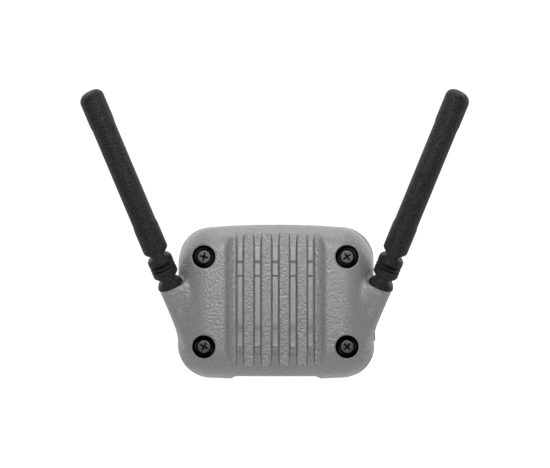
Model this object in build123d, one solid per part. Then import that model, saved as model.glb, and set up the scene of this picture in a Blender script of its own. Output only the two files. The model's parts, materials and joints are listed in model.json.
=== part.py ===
from build123d import *
from math import cos, radians, sin
import os

# Dual-antenna radio unit, millimetres.
# +X is to the right, +Z is up, and the ribbed front faces -Y. The rear mounting face lies in Y = 0,
# and the origin is the centre of its four-hole pattern. "Depth" is the distance in front of that face.

# Housing
BODY_DEPTH = 36.0
HALF_WIDTH_TOP = 48.75
HALF_WIDTH_BOTTOM = 49.4
CROWN_TOP = 38.7
CROWN_TOP_DROP = 2.9
CROWN_BOTTOM = -39.1
CROWN_BOTTOM_RISE = 2.0
TOP_CORNER_R = 16.5
BOTTOM_CORNER_R = 15.7
FRONT_EDGE_R = 12.5
REAR_EDGE_R = 4.0
WALL = 3.0
SEAM_DEPTH = 9.0
SEAM_GAP = 0.2
FRONT_WALL_INNER = 30.5
REAR_WALL = 3.0

# Recess along the bottom, between the two feet
FOOT_RECESS_HALF = 20.8
FOOT_RECESS_Z = -37.45
FOOT_RECESS_SLOPE = 1.15
RECESS_WALL_TOP = -34.2

# Ribbed panel
PANEL_DEPTH = 3.0
RIB_PITCH = 8.9
RIB_COUNT = 5
RIB_TOP = 2.8
RIB_BASE = 4.0
PANEL_TOP = 31.9
PANEL_BOTTOM = -32.6
PANEL_FLOOR_HALF = 20.45
PANEL_MOUTH_HALF = 25.2
WALL_TAPER = 11.3

# Cover screws: M4 x 25 pan head, cross recess
SCREW_X = 35.85
SCREW_Z = 22.5
COUNTERBORE_R = 5.7
SCREW_SEAT_DEPTH = 27.0
PILLAR_R = 7.7
SCREW_CLEARANCE_R = 2.25
SCREW_R = 1.95
SCREW_LENGTH = 25.0
HEAD_R = 4.0
HEAD_HEIGHT = 3.1
RECESS_SPAN = 4.4
RECESS_SLOT = 0.95
WASHER_R = 4.6
WASHER_THICK = 0.8
INSERT_R = 2.9
INSERT_BORE_R = 2.1
INSERT_LENGTH = 6.0
FIT = 0.02
COLUMN_R = 5.2

# Rear hole pattern, 38 x 30 mm, M4
MOUNT_X = 19.0
MOUNT_Z = 15.0

# Gasket in the seam
GASKET_INSET = 0.9
GASKET_WIDTH = 1.2
GASKET_THICK = 1.2

# Circuit board
BOARD_REAR = 18.4
BOARD_FRONT = 20.0
BOARD_HALF_X = 38.0
BOARD_HALF_WAIST = 13.0
BOARD_HALF_NARROW = 27.0
BOARD_HALF_Z = 31.5
BOARD_NOTCH_HALF = 11.0
BOARD_NOTCH_TOP = -20.0
POST_X = 23.5
POST_Z = 27.0
POST_R = 3.0
BOARD_SCREW_R = 1.5
BOARD_SCREW_HEAD_R = 2.8
SHIELD_X = 30.0
SHIELD_Z = 24.0
SHIELD_HEIGHT = 2.6
SHIELD_WALL = 0.3
PAD_THICK = 1.5
COAX_SOCKET_X = 32.0
COAX_SOCKET_Z = 3.0
COAX_R = 0.9

# Antenna bosses and antennas
ANTENNA_SPREAD = 22.4
ANTENNA_LEAN = 15.0
RIM_X = 52.4
RIM_DEPTH = 27.5
RIM_Z = 7.7
BOSS_R = 6.8
BOSS_LENGTH = 30.0
RIM_R = 7.0
RIM_HEIGHT = 2.3
SCOOP_R = 8.2
SCOOP_HEIGHT = 14.0
SLEEVE_LENGTH = 14.0
BUSHING_R = 4.5
BUSHING_LENGTH = 11.0
STUD_R = 3.0
STUD_LENGTH = 7.0
FEED_R = 2.6
NECK_R = 6.37
FLANGE_R = 6.55
SIDE_HINGE_LOW = 5.54
SIDE_HINGE_HIGH = 18.07
FORE_HINGE = 11.6
SIDE_KNUCKLE_R = 3.5
FORE_KNUCKLE_R = 3.2
RUNNING_GAP = 0.05
NOTCH_LIP = 0.64
NOTCH_OPENING = 1.95
LEAF_BOTTOM = 11.0
LEAF_TOP = 12.1
LOWER_SLOT_BOTTOM = 10.2
UPPER_SLOT_LIP = 12.62
UPPER_SLOT_RIM = 13.08
BULGE_R = 6.35
SHAFT_R = 6.05
LOWER_BULGE_END = 33.6
SHAFT_START = 35.7
SHAFT_END = 89.0
UPPER_BULGE_START = 91.6
TIP = 108.9
TIP_EDGE_R = 2.8
TIP_DOME = 0.6
TIP_FLAT_R = 0.8
SHEATH_BORE_R = 3.6
SHEATH_BORE_START = 25.0
SHEATH_BORE_END = 104.0
FORMER_R = 2.0
WIRE_R = 0.45
WINDING_PITCH = 5.0
WINDING_START = 30.0
WINDING_HEIGHT = 65.0

# Power and data socket in the bottom recess (M8, four contacts)
SOCKET_DEPTH = 17.4
SOCKET_FLANGE_R = 7.0
SOCKET_FLANGE_THICK = 1.0
SOCKET_LEDGE_Z = FOOT_RECESS_Z + SOCKET_FLANGE_THICK
SOCKET_BODY_R = 6.0
SOCKET_TOP = -26.0
SOCKET_BORE_R = 4.0
SOCKET_BORE_DEPTH = 6.5
SOCKET_SEAT_R = 4.6
NUT_FLATS = 15.0
NUT_THICK = 2.6
CONTACT_RING_R = 1.6
CONTACT_R = 0.5
CONTACT_RECESS = 0.4

# Indicator window on the top edge, and vent plug on the right side
LENS_WIDTH = 19.5
LENS_NEAR = 21.0
LENS_FAR = 27.3
LENS_THICK = 2.2
VENT_R = 2.6
VENT_Z = -17.3
VENT_DEPTH = 15.0
VENT_STEM_R = 1.6
VENT_PROUD = 0.5

RIB_CENTRES = [RIB_PITCH * (i - (RIB_COUNT - 1) / 2) for i in range(RIB_COUNT)]
SCREW_PLACES = [(sx * SCREW_X, sz * SCREW_Z) for sx in (-1, 1) for sz in (-1, 1)]
MOUNT_PLACES = [(sx * MOUNT_X, sz * MOUNT_Z) for sx in (-1, 1) for sz in (-1, 1)]
POST_PLACES = [(sx * POST_X, sz * POST_Z) for sx in (-1, 1) for sz in (-1, 1)]


def at_depth(depth):
    """Plane parallel to the rear face, its normal towards the front, its axes along X and Z."""
    return Plane.XZ.offset(depth)


def rod(x, z, radius, near, far):
    """Cylinder along the depth direction."""
    return extrude(at_depth(near) * Pos(x, z) * Circle(radius), amount=far - near)


def block(x, z, width, height, near, far):
    """Rectangular block centred on (x, z)."""
    return extrude(at_depth(near) * Pos(x, z) * Rectangle(width, height), amount=far - near)


def recess_profile():
    """Front view of the shallow recess between the feet."""
    low = CROWN_BOTTOM - 1
    spread = FOOT_RECESS_HALF + FOOT_RECESS_SLOPE * (FOOT_RECESS_Z - low)
    return Polygon(
        (-FOOT_RECESS_HALF, FOOT_RECESS_Z), (FOOT_RECESS_HALF, FOOT_RECESS_Z),
        (spread, low), (-spread, low), align=None)


def outline(inset=0.0, feet=False):
    """Front-view outline of the housing: crowned top and bottom, sides that taper upwards."""
    top_z = CROWN_TOP - CROWN_TOP_DROP
    low_z = CROWN_BOTTOM + CROWN_BOTTOM_RISE
    curves = [
        ThreePointArc((-HALF_WIDTH_BOTTOM, low_z), (0, CROWN_BOTTOM), (HALF_WIDTH_BOTTOM, low_z)),
        Line((HALF_WIDTH_BOTTOM, low_z), (HALF_WIDTH_TOP, top_z)),
        ThreePointArc((HALF_WIDTH_TOP, top_z), (0, CROWN_TOP), (-HALF_WIDTH_TOP, top_z)),
        Line((-HALF_WIDTH_TOP, top_z), (-HALF_WIDTH_BOTTOM, low_z)),
    ]
    face = make_face(curves)
    face = fillet(face.vertices().filter_by_position(Axis.Y, 0, CROWN_TOP), TOP_CORNER_R)
    face = fillet(face.vertices().filter_by_position(Axis.Y, CROWN_BOTTOM, low_z + 0.1), BOTTOM_CORNER_R)
    if feet:
        face -= recess_profile()
    return offset(face, amount=-inset) if inset else face


def slab(inset, near, far, feet=False):
    """The outline, shrunk by inset, between two depths."""
    return extrude(at_depth(near) * outline(inset, feet), amount=far - near)


def foot_recess():
    """Shallow recess along the bottom that leaves a foot at each end, through the whole depth."""
    return extrude(at_depth(BODY_DEPTH / 2) * recess_profile(), amount=BODY_DEPTH / 2 + 1, both=True)


def recess_floor():
    """Extra metal over the recess, so its wall stays as thick as the rest."""
    height = RECESS_WALL_TOP - CROWN_BOTTOM
    width = 2 * FOOT_RECESS_HALF + 8
    return block(0, CROWN_BOTTOM + height / 2, width, height, -1, BODY_DEPTH)


def antenna_frame(side):
    """Frame on a boss rim: +Z along the antenna, X across it, -Y to the front. side is -1 or 1."""
    spread = radians(ANTENNA_SPREAD)
    lean = radians(ANTENNA_LEAN)
    along = (side * sin(spread) * cos(lean), -sin(lean), cos(spread) * cos(lean))
    across = (cos(spread), 0, -side * sin(spread))
    return Plane(origin=(side * RIM_X, -RIM_DEPTH, RIM_Z), x_dir=across, z_dir=along).location


def upright(radius, low, high):
    """Cylinder along local Z between two heights."""
    return Pos(0, 0, low) * Cylinder(radius, high - low, align=(Align.CENTER, Align.CENTER, Align.MIN))


def panel_cut():
    """What is taken out of the front to leave the ribs: four round-ended channels, two sloped bands."""
    floor = BODY_DEPTH - PANEL_DEPTH
    length = PANEL_TOP - PANEL_BOTTOM
    middle = (PANEL_TOP + PANEL_BOTTOM) / 2
    channel_width = RIB_PITCH - RIB_BASE
    cuts = []
    for left in RIB_CENTRES[:-1]:
        place = at_depth(floor) * Pos(left + RIB_PITCH / 2, middle) * Rot(0, 0, 90)
        channel = extrude(place * SlotOverall(length, channel_width), amount=PANEL_DEPTH + 1, taper=-WALL_TAPER)
        cuts.append(channel)
    outer_rib = RIB_CENTRES[-1]
    for side in (-1, 1):
        overshoot = (PANEL_MOUTH_HALF - PANEL_FLOOR_HALF) / PANEL_DEPTH
        profile = Polygon(
            (side * (outer_rib + RIB_BASE / 2), -floor),
            (side * PANEL_FLOOR_HALF, -floor),
            (side * (PANEL_MOUTH_HALF + overshoot), -BODY_DEPTH - 1),
            (side * (outer_rib + RIB_TOP / 2 - 0.2), -BODY_DEPTH - 1), align=None)
        cuts.append(extrude(Plane.XY.offset(middle) * profile, amount=length / 2, both=True))
    return cuts


def boss(side):
    """Antenna boss with its rim, in place."""
    tube = upright(BOSS_R, -BOSS_LENGTH, 0)
    rim = upright(RIM_R, -RIM_HEIGHT, 0)
    rim = chamfer(rim.edges().group_by(Axis.Z)[-1], 0.4)
    return antenna_frame(side) * (tube + rim)


def boss_scoop(side):
    """Room cut beside the boss rim, so the antenna flange screws down clear of the housing."""
    return antenna_frame(side) * upright(SCOOP_R, 0, SCOOP_HEIGHT)


def boss_bore(side):
    """Seat for the brass bushing, and the way through to the inside for the coax."""
    seat = upright(BUSHING_R, -BUSHING_LENGTH, 1)
    feed = upright(FEED_R, -24, -BUSHING_LENGTH)
    return antenna_frame(side) * (seat + feed)


def front_cavity():
    """Inside of the front housing, less the pillars, sleeves, posts, heat pedestal and recess floor."""
    hollow = slab(WALL, SEAM_DEPTH, FRONT_WALL_INNER)
    hollow = fillet(hollow.edges().filter_by_position(Axis.Y, -FRONT_WALL_INNER - 0.1, -FRONT_WALL_INNER + 0.1),
                    FRONT_EDGE_R - WALL)
    for x, z in SCREW_PLACES:
        hollow -= rod(x, z, PILLAR_R, SEAM_DEPTH - 1, BODY_DEPTH)
    for side in (-1, 1):
        hollow -= antenna_frame(side) * upright(BOSS_R, -SLEEVE_LENGTH, 1)
    for x, z in POST_PLACES:
        hollow -= rod(x, z, POST_R, BOARD_FRONT, BODY_DEPTH)
    pedestal = BOARD_FRONT + SHIELD_HEIGHT + PAD_THICK
    hollow -= block(0, 0, SHIELD_X - 2, SHIELD_Z - 2, pedestal, BODY_DEPTH)
    hollow -= recess_floor()
    return hollow


def lens_solid(growth=0.0):
    """Indicator window: a curved strip that follows the crowned top edge."""
    strip = Pos(0, -(LENS_NEAR + LENS_FAR) / 2, CROWN_TOP) * Box(
        LENS_WIDTH + 2 * growth, LENS_FAR - LENS_NEAR + 2 * growth, 12)
    return strip


def outer_shell(near, far):
    """Outside of the front housing with its rounded front edge."""
    shell = slab(0, near, far)
    front = shell.edges().filter_by_position(Axis.Y, -far - 0.1, -far + 0.1)
    return fillet(front, FRONT_EDGE_R)


def front_housing():
    """Front shell: rounded box, bosses, ribbed panel, counterbores and everything cast inside it."""
    near = SEAM_DEPTH + SEAM_GAP
    shell = outer_shell(near, BODY_DEPTH)
    for side in (-1, 1):
        shell -= boss_scoop(side)
        shell += boss(side)
    shell -= front_cavity()
    for side in (-1, 1):
        shell -= boss_bore(side)
    for cut in panel_cut():
        shell -= cut
    for x, z in SCREW_PLACES:
        shell -= rod(x, z, COUNTERBORE_R, SCREW_SEAT_DEPTH, BODY_DEPTH + 1)
        shell -= rod(x, z, SCREW_CLEARANCE_R, near - 1, SCREW_SEAT_DEPTH)
    for x, z in POST_PLACES:
        shell -= rod(x, z, BOARD_SCREW_R + 0.05, BOARD_FRONT - 1, BOARD_FRONT + 8)
    shell -= gasket_ring(near - 1, SEAM_DEPTH + GASKET_THICK)
    shell -= foot_recess()
    shell -= socket_at(CROWN_BOTTOM - 1) * upright(SOCKET_BODY_R + 0.1, 0, 12)
    shell -= socket_at(FOOT_RECESS_Z - 1) * upright(SOCKET_FLANGE_R + 0.1, 0, SOCKET_FLANGE_THICK + 1)
    shell -= socket_at(SOCKET_LEDGE_Z) * upright(SOCKET_BODY_R + 0.8, 0, 0.9)
    shell -= lens_pocket()
    shell -= vent_axis() * upright(VENT_STEM_R + FIT, -8, 2)
    return shell


def gasket_ring(near, far):
    """Ring that follows the outline inside the seam."""
    inner = slab(GASKET_INSET + GASKET_WIDTH, near - 1, far + 1, feet=True)
    return slab(GASKET_INSET, near, far, feet=True) - inner


def housing_gasket():
    return gasket_ring(SEAM_DEPTH, SEAM_DEPTH + GASKET_THICK)


def lens_pocket():
    """Pocket for the window, with a smaller opening through the wall for the light."""
    top = outer_shell(SEAM_DEPTH, BODY_DEPTH) - Pos(0, 0, -LENS_THICK) * outer_shell(SEAM_DEPTH, BODY_DEPTH)
    window = lens_solid() & top
    light = Pos(0, -(LENS_NEAR + 2.6), CROWN_TOP - 3) * Box(LENS_WIDTH - 4, 2.4, 12)
    return window + light


def status_lens():
    """Smoked window that sits flush in the top edge."""
    body = outer_shell(SEAM_DEPTH, BODY_DEPTH)
    skin = body - Pos(0, 0, -LENS_THICK + FIT) * body
    return lens_solid(-0.05) & skin


def status_leds():
    """Three light sources at the board's top edge."""
    leds = [Pos(dx, -BOARD_FRONT - 0.6, BOARD_HALF_Z - 1.5) * Box(2.0, 1.2, 1.6) for dx in (-6, 0, 6)]
    return Compound(children=leds)


def half_width(z):
    """Half the housing's width at a height, on its straight sides."""
    low_z = CROWN_BOTTOM + CROWN_BOTTOM_RISE
    top_z = CROWN_TOP - CROWN_TOP_DROP
    return HALF_WIDTH_BOTTOM - (HALF_WIDTH_BOTTOM - HALF_WIDTH_TOP) * (z - low_z) / (top_z - low_z)


def vent_axis():
    """Frame of the vent plug: +Z out of the right side."""
    origin = (half_width(VENT_Z), -VENT_DEPTH, VENT_Z)
    return Plane(origin=origin, x_dir=(0, 1, 0), z_dir=(1, 0, 0)).location


def vent_plug():
    head = upright(VENT_R, 0.1, VENT_PROUD)
    head = fillet(head.edges().group_by(Axis.Z)[-1], 0.2)
    return vent_axis() * (head + upright(VENT_STEM_R, -4.5, 0.2))


def rear_cover():
    """Flat-backed cover with columns for both sets of inserts."""
    cover = slab(0, 0, SEAM_DEPTH)
    cover = fillet(cover.edges().filter_by_position(Axis.Y, -0.1, 0.1), REAR_EDGE_R)
    hollow = slab(WALL, REAR_WALL, SEAM_DEPTH + 1)
    for x, z in SCREW_PLACES:
        hollow -= rod(x, z, COLUMN_R, 0, SEAM_DEPTH + 2)
    for x, z in MOUNT_PLACES:
        hollow -= rod(x, z, COLUMN_R, 0, SEAM_DEPTH + 2)
    cover -= hollow - recess_floor()
    for x, z in SCREW_PLACES:
        cover -= rod(x, z, INSERT_R + FIT, SEAM_DEPTH - INSERT_LENGTH, SEAM_DEPTH + 1)
        cover -= rod(x, z, SCREW_CLEARANCE_R, 1.6, SEAM_DEPTH)
    for x, z in MOUNT_PLACES:
        cover -= rod(x, z, INSERT_R + FIT, -1, INSERT_LENGTH)
    cover -= foot_recess()
    return cover


def inserts(places, near):
    """Brass threaded inserts; the thread is a plain bore."""
    rings = []
    for x, z in places:
        ring = rod(x, z, INSERT_R, near, near + INSERT_LENGTH)
        ring -= rod(x, z, INSERT_BORE_R, near - 1, near + INSERT_LENGTH + 1)
        rings.append(ring)
    return Compound(children=rings)


def pan_screw(turn):
    """One cover screw at the origin: +Z out of the head, underside of the head at Z = 0."""
    head = upright(HEAD_R, 0, HEAD_HEIGHT)
    head = fillet(head.edges().group_by(Axis.Z)[-1], 1.5)
    slot = Box(RECESS_SPAN, RECESS_SLOT, 2.2)
    cross = Pos(0, 0, HEAD_HEIGHT - 0.9) * (slot + Rot(0, 0, 90) * slot)
    cross += Pos(0, 0, HEAD_HEIGHT - 1.7) * Cone(0.5, 1.5, 2.4)
    shank = upright(SCREW_R, -SCREW_LENGTH, 0.1)
    shank = chamfer(shank.edges().group_by(Axis.Z)[0], 0.5)
    return Rot(0, 0, turn) * (head + shank - cross)


def facing_front(x, z, depth):
    """Location whose local +Z looks out of the front."""
    return Plane(origin=(x, -depth, z), x_dir=(1, 0, 0), z_dir=(0, -1, 0)).location


def cover_screws():
    turns = (-28, -12, 45, 35)
    seat = SCREW_SEAT_DEPTH + WASHER_THICK
    screws = [facing_front(x, z, seat) * pan_screw(turn) for (x, z), turn in zip(SCREW_PLACES, turns)]
    return Compound(children=screws)


def screw_washers():
    rings = []
    for x, z in SCREW_PLACES:
        ring = rod(x, z, WASHER_R, SCREW_SEAT_DEPTH, SCREW_SEAT_DEPTH + WASHER_THICK)
        ring -= rod(x, z, SCREW_CLEARANCE_R - 0.1, SCREW_SEAT_DEPTH - 1, SCREW_SEAT_DEPTH + 2)
        rings.append(ring)
    return Compound(children=rings)


def main_board():
    """Board that is waisted round the screw pillars and notched over the power socket."""
    wide = block(0, 0, 2 * BOARD_HALF_X, 2 * BOARD_HALF_WAIST, BOARD_REAR, BOARD_FRONT)
    tall = block(0, 0, 2 * BOARD_HALF_NARROW, 2 * BOARD_HALF_Z, BOARD_REAR, BOARD_FRONT)
    board = wide + tall
    notch_height = BOARD_HALF_Z + BOARD_NOTCH_TOP + 1
    board -= block(0, BOARD_NOTCH_TOP - notch_height / 2, 2 * BOARD_NOTCH_HALF, notch_height,
                   BOARD_REAR - 1, BOARD_FRONT + 1)
    for x, z in POST_PLACES:
        board -= rod(x, z, BOARD_SCREW_R + 0.1, BOARD_REAR - 1, BOARD_FRONT + 1)
    return board


def board_screws():
    """Pan-head screws that hold the board from behind."""
    screws = []
    for x, z in POST_PLACES:
        head = rod(x, z, BOARD_SCREW_HEAD_R, BOARD_REAR - 2, BOARD_REAR)
        head = fillet(head.edges().filter_by_position(Axis.Y, -BOARD_REAR + 1.9, -BOARD_REAR + 2.1), 0.8)
        head -= block(x, z, 3.2, 0.8, BOARD_REAR - 3, BOARD_REAR - 1.1)
        head -= block(x, z, 0.8, 3.2, BOARD_REAR - 3, BOARD_REAR - 1.1)
        screws.append(head + rod(x, z, BOARD_SCREW_R, BOARD_REAR - 0.1, BOARD_FRONT + 6))
    return Compound(children=screws)


def radio_shield():
    """Thin can, open to the board."""
    top = BOARD_FRONT + SHIELD_HEIGHT
    can = block(0, 0, SHIELD_X, SHIELD_Z, BOARD_FRONT, top)
    return can - block(0, 0, SHIELD_X - 2 * SHIELD_WALL, SHIELD_Z - 2 * SHIELD_WALL,
                       BOARD_FRONT - 1, top - SHIELD_WALL)


def radio_chips():
    """Processor, two radio front ends and a memory chip under the can."""
    chips = [
        block(-5, 2, 12, 12, BOARD_FRONT, BOARD_FRONT + 1.2),
        block(8, 5.5, 7, 7, BOARD_FRONT, BOARD_FRONT + 1.0),
        block(8, -5.5, 7, 7, BOARD_FRONT, BOARD_FRONT + 1.0),
        block(-5, -8, 9, 4, BOARD_FRONT, BOARD_FRONT + 0.9),
    ]
    return Compound(children=chips)


def thermal_pad():
    near = BOARD_FRONT + SHIELD_HEIGHT
    return block(0, 0, SHIELD_X - 4, SHIELD_Z - 4, near, near + PAD_THICK)


def coax_sockets():
    """Two snap-on coax sockets on the front of the board."""
    sockets = []
    for side in (-1, 1):
        base = block(side * COAX_SOCKET_X, COAX_SOCKET_Z, 3.2, 3.2, BOARD_FRONT, BOARD_FRONT + 0.5)
        sockets.append(base + rod(side * COAX_SOCKET_X, COAX_SOCKET_Z, 1.0, BOARD_FRONT, BOARD_FRONT + 1.5))
    return Compound(children=sockets)


def coax(side):
    """Pigtail from the back of a bushing to its board socket, with its snap-on plug."""
    frame = antenna_frame(side)
    start = (frame * Pos(0, 0, -BUSHING_LENGTH - 0.1)).position
    out = (frame * Pos(0, 0, -23)).position
    plug_depth = BOARD_FRONT + 2.3
    tip = Vector(side * (COAX_SOCKET_X + 1.6), -plug_depth, COAX_SOCKET_Z)
    bend = Vector(side * 37.5, -plug_depth - 0.6, -7.5)
    route = Spline(start, out, bend, tip, tangents=[out - start, Vector(-side * 0.6, 0, 0.8)])
    cable = sweep(Plane(origin=route @ 0, z_dir=route % 0) * Circle(COAX_R), path=route)
    plug = rod(side * COAX_SOCKET_X, COAX_SOCKET_Z, 2.0, BOARD_FRONT + 0.6, plug_depth + COAX_R)
    plug -= rod(side * COAX_SOCKET_X, COAX_SOCKET_Z, 1.0 + FIT, BOARD_FRONT, BOARD_FRONT + 1.5 + FIT)
    return cable + plug


def bushing(side):
    """Threaded brass socket pressed in a boss."""
    body = upright(BUSHING_R - FIT, -BUSHING_LENGTH, 0)
    body -= upright(STUD_R + 0.05, -STUD_LENGTH - 0.5, 1)
    return antenna_frame(side) * body


def stud(side):
    """Threaded brass stud moulded in the antenna base."""
    body = upright(STUD_R, -STUD_LENGTH, 0)
    body = chamfer(body.edges().group_by(Axis.Z)[0], 0.5)
    return antenna_frame(side) * body


def side_profile(points):
    """Shape drawn in the local X-Z plane, through the whole antenna from front to back."""
    return extrude(Plane.XZ * Polygon(*points, align=None), amount=10, both=True)


def fore_profile(points):
    """Shape drawn in the local Y-Z plane, through the whole antenna from side to side."""
    return extrude(Plane.YZ * Polygon(*points, align=None), amount=10, both=True)


def side_knuckle(height, radius):
    """Cylinder across the antenna, front to back: the web that bends sideways."""
    return Pos(0, 0, height) * Rot(90, 0, 0) * Cylinder(radius, 20)


def fore_knuckle(height, radius):
    """Cylinder across the antenna, side to side: the web that bends to the front and back."""
    return Pos(0, 0, height) * Rot(0, 90, 0) * Cylinder(radius, 20)


def notch_below(height, radius, floor):
    """Solid under a side notch: flat below, sloped to the knuckle above."""
    return side_profile([
        (-radius, floor), (radius, floor), (radius, height - NOTCH_OPENING),
        (SIDE_KNUCKLE_R - 0.06, height - NOTCH_LIP), (-SIDE_KNUCKLE_R + 0.06, height - NOTCH_LIP),
        (-radius, height - NOTCH_OPENING)])


def notch_above(height, radius, ceiling):
    """Solid over a side notch: sloped to the knuckle below, flat above."""
    return side_profile([
        (-radius, ceiling), (radius, ceiling), (radius, height + NOTCH_OPENING),
        (SIDE_KNUCKLE_R - 0.06, height + NOTCH_LIP), (-SIDE_KNUCKLE_R + 0.06, height + NOTCH_LIP),
        (-radius, height + NOTCH_OPENING)])


def antenna_base(side):
    """Flange on the boss rim, with the lower knuckle on it."""
    body = notch_below(SIDE_HINGE_LOW, FLANGE_R, 0) + side_knuckle(SIDE_HINGE_LOW, SIDE_KNUCKLE_R)
    body &= upright(FLANGE_R, 0, 20)
    body = fillet(body.edges().group_by(Axis.Z)[0], 0.5)
    return antenna_frame(side) * body


def collar_lower(side):
    """Lower half of the neck: socket over the lower knuckle, front and back slot, middle knuckle."""
    body = notch_above(SIDE_HINGE_LOW, NECK_R, LOWER_SLOT_BOTTOM)
    body -= side_knuckle(SIDE_HINGE_LOW, SIDE_KNUCKLE_R + RUNNING_GAP)
    body += upright(NECK_R, LEAF_BOTTOM, LEAF_TOP)
    body += fore_knuckle(FORE_HINGE, FORE_KNUCKLE_R)
    body -= side_knuckle(SIDE_HINGE_LOW, SIDE_KNUCKLE_R + RUNNING_GAP)
    return antenna_frame(side) * (body & upright(NECK_R, 0, 20))


def collar_upper(side):
    """Upper half of the neck: socket over the middle knuckle, upper side knuckle on top."""
    top = notch_below(SIDE_HINGE_HIGH, NECK_R, FORE_HINGE)
    slot = fore_profile([
        (-NECK_R - 1, FORE_HINGE - 1), (NECK_R + 1, FORE_HINGE - 1), (NECK_R + 1, UPPER_SLOT_RIM + 0.15),
        (NECK_R, UPPER_SLOT_RIM), (FORE_KNUCKLE_R - 0.06, UPPER_SLOT_LIP),
        (-FORE_KNUCKLE_R + 0.06, UPPER_SLOT_LIP), (-NECK_R, UPPER_SLOT_RIM),
        (-NECK_R - 1, UPPER_SLOT_RIM + 0.15)])
    body = top - slot + side_knuckle(SIDE_HINGE_HIGH, SIDE_KNUCKLE_R)
    body -= fore_knuckle(FORE_HINGE, FORE_KNUCKLE_R + RUNNING_GAP)
    return antenna_frame(side) * (body & upright(NECK_R, 0, 30))


def turned(*curves):
    """Solid of revolution about local Z from a half section in the X-Z plane."""
    return revolve(Plane.XZ * make_face(curves), Axis.Z)


def antenna_mast(side):
    """Rubber sheath: bulge at the neck, slimmer shaft, and a bore for the radiator open at the top."""
    low = SIDE_HINGE_HIGH
    body = turned(
        Line((0, low), (BULGE_R, low)),
        Line((BULGE_R, low), (BULGE_R, LOWER_BULGE_END)),
        Line((BULGE_R, LOWER_BULGE_END), (SHAFT_R, SHAFT_START)),
        Line((SHAFT_R, SHAFT_START), (SHAFT_R, SHAFT_END)),
        Line((SHAFT_R, SHAFT_END), (0, SHAFT_END)),
        Line((0, SHAFT_END), (0, low)))
    body &= notch_above(SIDE_HINGE_HIGH, BULGE_R + 2, TIP)
    body -= side_knuckle(SIDE_HINGE_HIGH, SIDE_KNUCKLE_R + RUNNING_GAP)
    body -= upright(SHEATH_BORE_R, SHEATH_BORE_START, TIP)
    return antenna_frame(side) * body


def tip_cap(side):
    """Rubber cap that closes the sheath, with a rounded tip."""
    shoulder = (BULGE_R, TIP - TIP_DOME - TIP_EDGE_R)
    brow = (BULGE_R - TIP_EDGE_R, TIP - TIP_DOME)
    corner = (BULGE_R - TIP_EDGE_R * (1 - cos(radians(45))), TIP - TIP_DOME - TIP_EDGE_R * (1 - sin(radians(45))))
    body = turned(
        Line((0, SHAFT_END), (SHAFT_R, SHAFT_END)),
        Line((SHAFT_R, SHAFT_END), (BULGE_R, UPPER_BULGE_START)),
        Line((BULGE_R, UPPER_BULGE_START), shoulder),
        ThreePointArc(shoulder, corner, brow),
        ThreePointArc(brow, (0.6 * brow[0], TIP - 0.3 * TIP_DOME), (TIP_FLAT_R, TIP)),
        Line((TIP_FLAT_R, TIP), (0, TIP)),
        Line((0, TIP), (0, SHAFT_END)))
    body -= upright(SHEATH_BORE_R, SHAFT_END - 1, SHEATH_BORE_END)
    return antenna_frame(side) * body


def former(side):
    """Rod that fills the middle of the bore and carries the winding."""
    foot = upright(SHEATH_BORE_R - FIT, SHEATH_BORE_START + FIT, SHEATH_BORE_START + 3)
    tip = upright(SHEATH_BORE_R - FIT, SHEATH_BORE_END - 3, SHEATH_BORE_END - FIT)
    return antenna_frame(side) * (foot + upright(FORMER_R, SHEATH_BORE_START + 1, SHEATH_BORE_END - 1) + tip)


def radiator(side):
    """Wire wound round the former."""
    path = Helix(WINDING_PITCH, WINDING_HEIGHT, FORMER_R + WIRE_R + 0.05)
    wire = sweep(Plane(origin=path @ 0, z_dir=path % 0) * Circle(WIRE_R), path=path)
    return antenna_frame(side) * Pos(0, 0, WINDING_START) * wire


def socket_at(height):
    """Location on the power socket's axis at a given Z."""
    return Pos(0, -SOCKET_DEPTH, height)


def power_socket_shell():
    """Flush round flange, threaded body and the bore that takes the plug."""
    length = SOCKET_TOP - FOOT_RECESS_Z
    body = socket_at(FOOT_RECESS_Z) * upright(SOCKET_FLANGE_R, 0, SOCKET_FLANGE_THICK)
    body = chamfer(body.edges().group_by(Axis.Z)[0], 0.3)
    body += socket_at(FOOT_RECESS_Z) * upright(SOCKET_BODY_R, 0, length)
    body -= socket_at(FOOT_RECESS_Z) * upright(SOCKET_BORE_R, -1, length)
    body -= socket_at(FOOT_RECESS_Z + SOCKET_BORE_DEPTH) * upright(SOCKET_SEAT_R, 0, length)
    return body


def contact_places():
    return [(CONTACT_RING_R * cos(radians(a)), CONTACT_RING_R * sin(radians(a))) for a in (45, 135, 225, 315)]


def power_socket_insert():
    """Insulator that closes the bore behind the plug and carries the contacts, which sit just below its face."""
    low = FOOT_RECESS_Z + SOCKET_BORE_DEPTH
    body = socket_at(low) * upright(SOCKET_SEAT_R - FIT, 0, SOCKET_TOP - low)
    for x, y in contact_places():
        body -= Pos(x, y) * socket_at(low) * upright(CONTACT_R + FIT, 0, 20)
    return body


def power_socket_contacts():
    low = FOOT_RECESS_Z + SOCKET_BORE_DEPTH + CONTACT_RECESS
    pins = [Pos(x, y) * socket_at(low) * upright(CONTACT_R, 0, SOCKET_TOP + 1.5 - low) for x, y in contact_places()]
    return Compound(children=pins)


def power_socket_nut():
    hexagon = RegularPolygon(NUT_FLATS / 2, 6, major_radius=False)
    nut = socket_at(RECESS_WALL_TOP) * extrude(hexagon, amount=NUT_THICK)
    return nut - socket_at(RECESS_WALL_TOP - 1) * upright(SOCKET_BODY_R + 0.05, 0, NUT_THICK + 2)


def power_socket_seal():
    ring = socket_at(SOCKET_LEDGE_Z) * upright(SOCKET_BODY_R + 0.78, 0, 0.88)
    return ring - socket_at(SOCKET_LEDGE_Z - 1) * upright(SOCKET_BODY_R + FIT, 0, 3)


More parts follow.
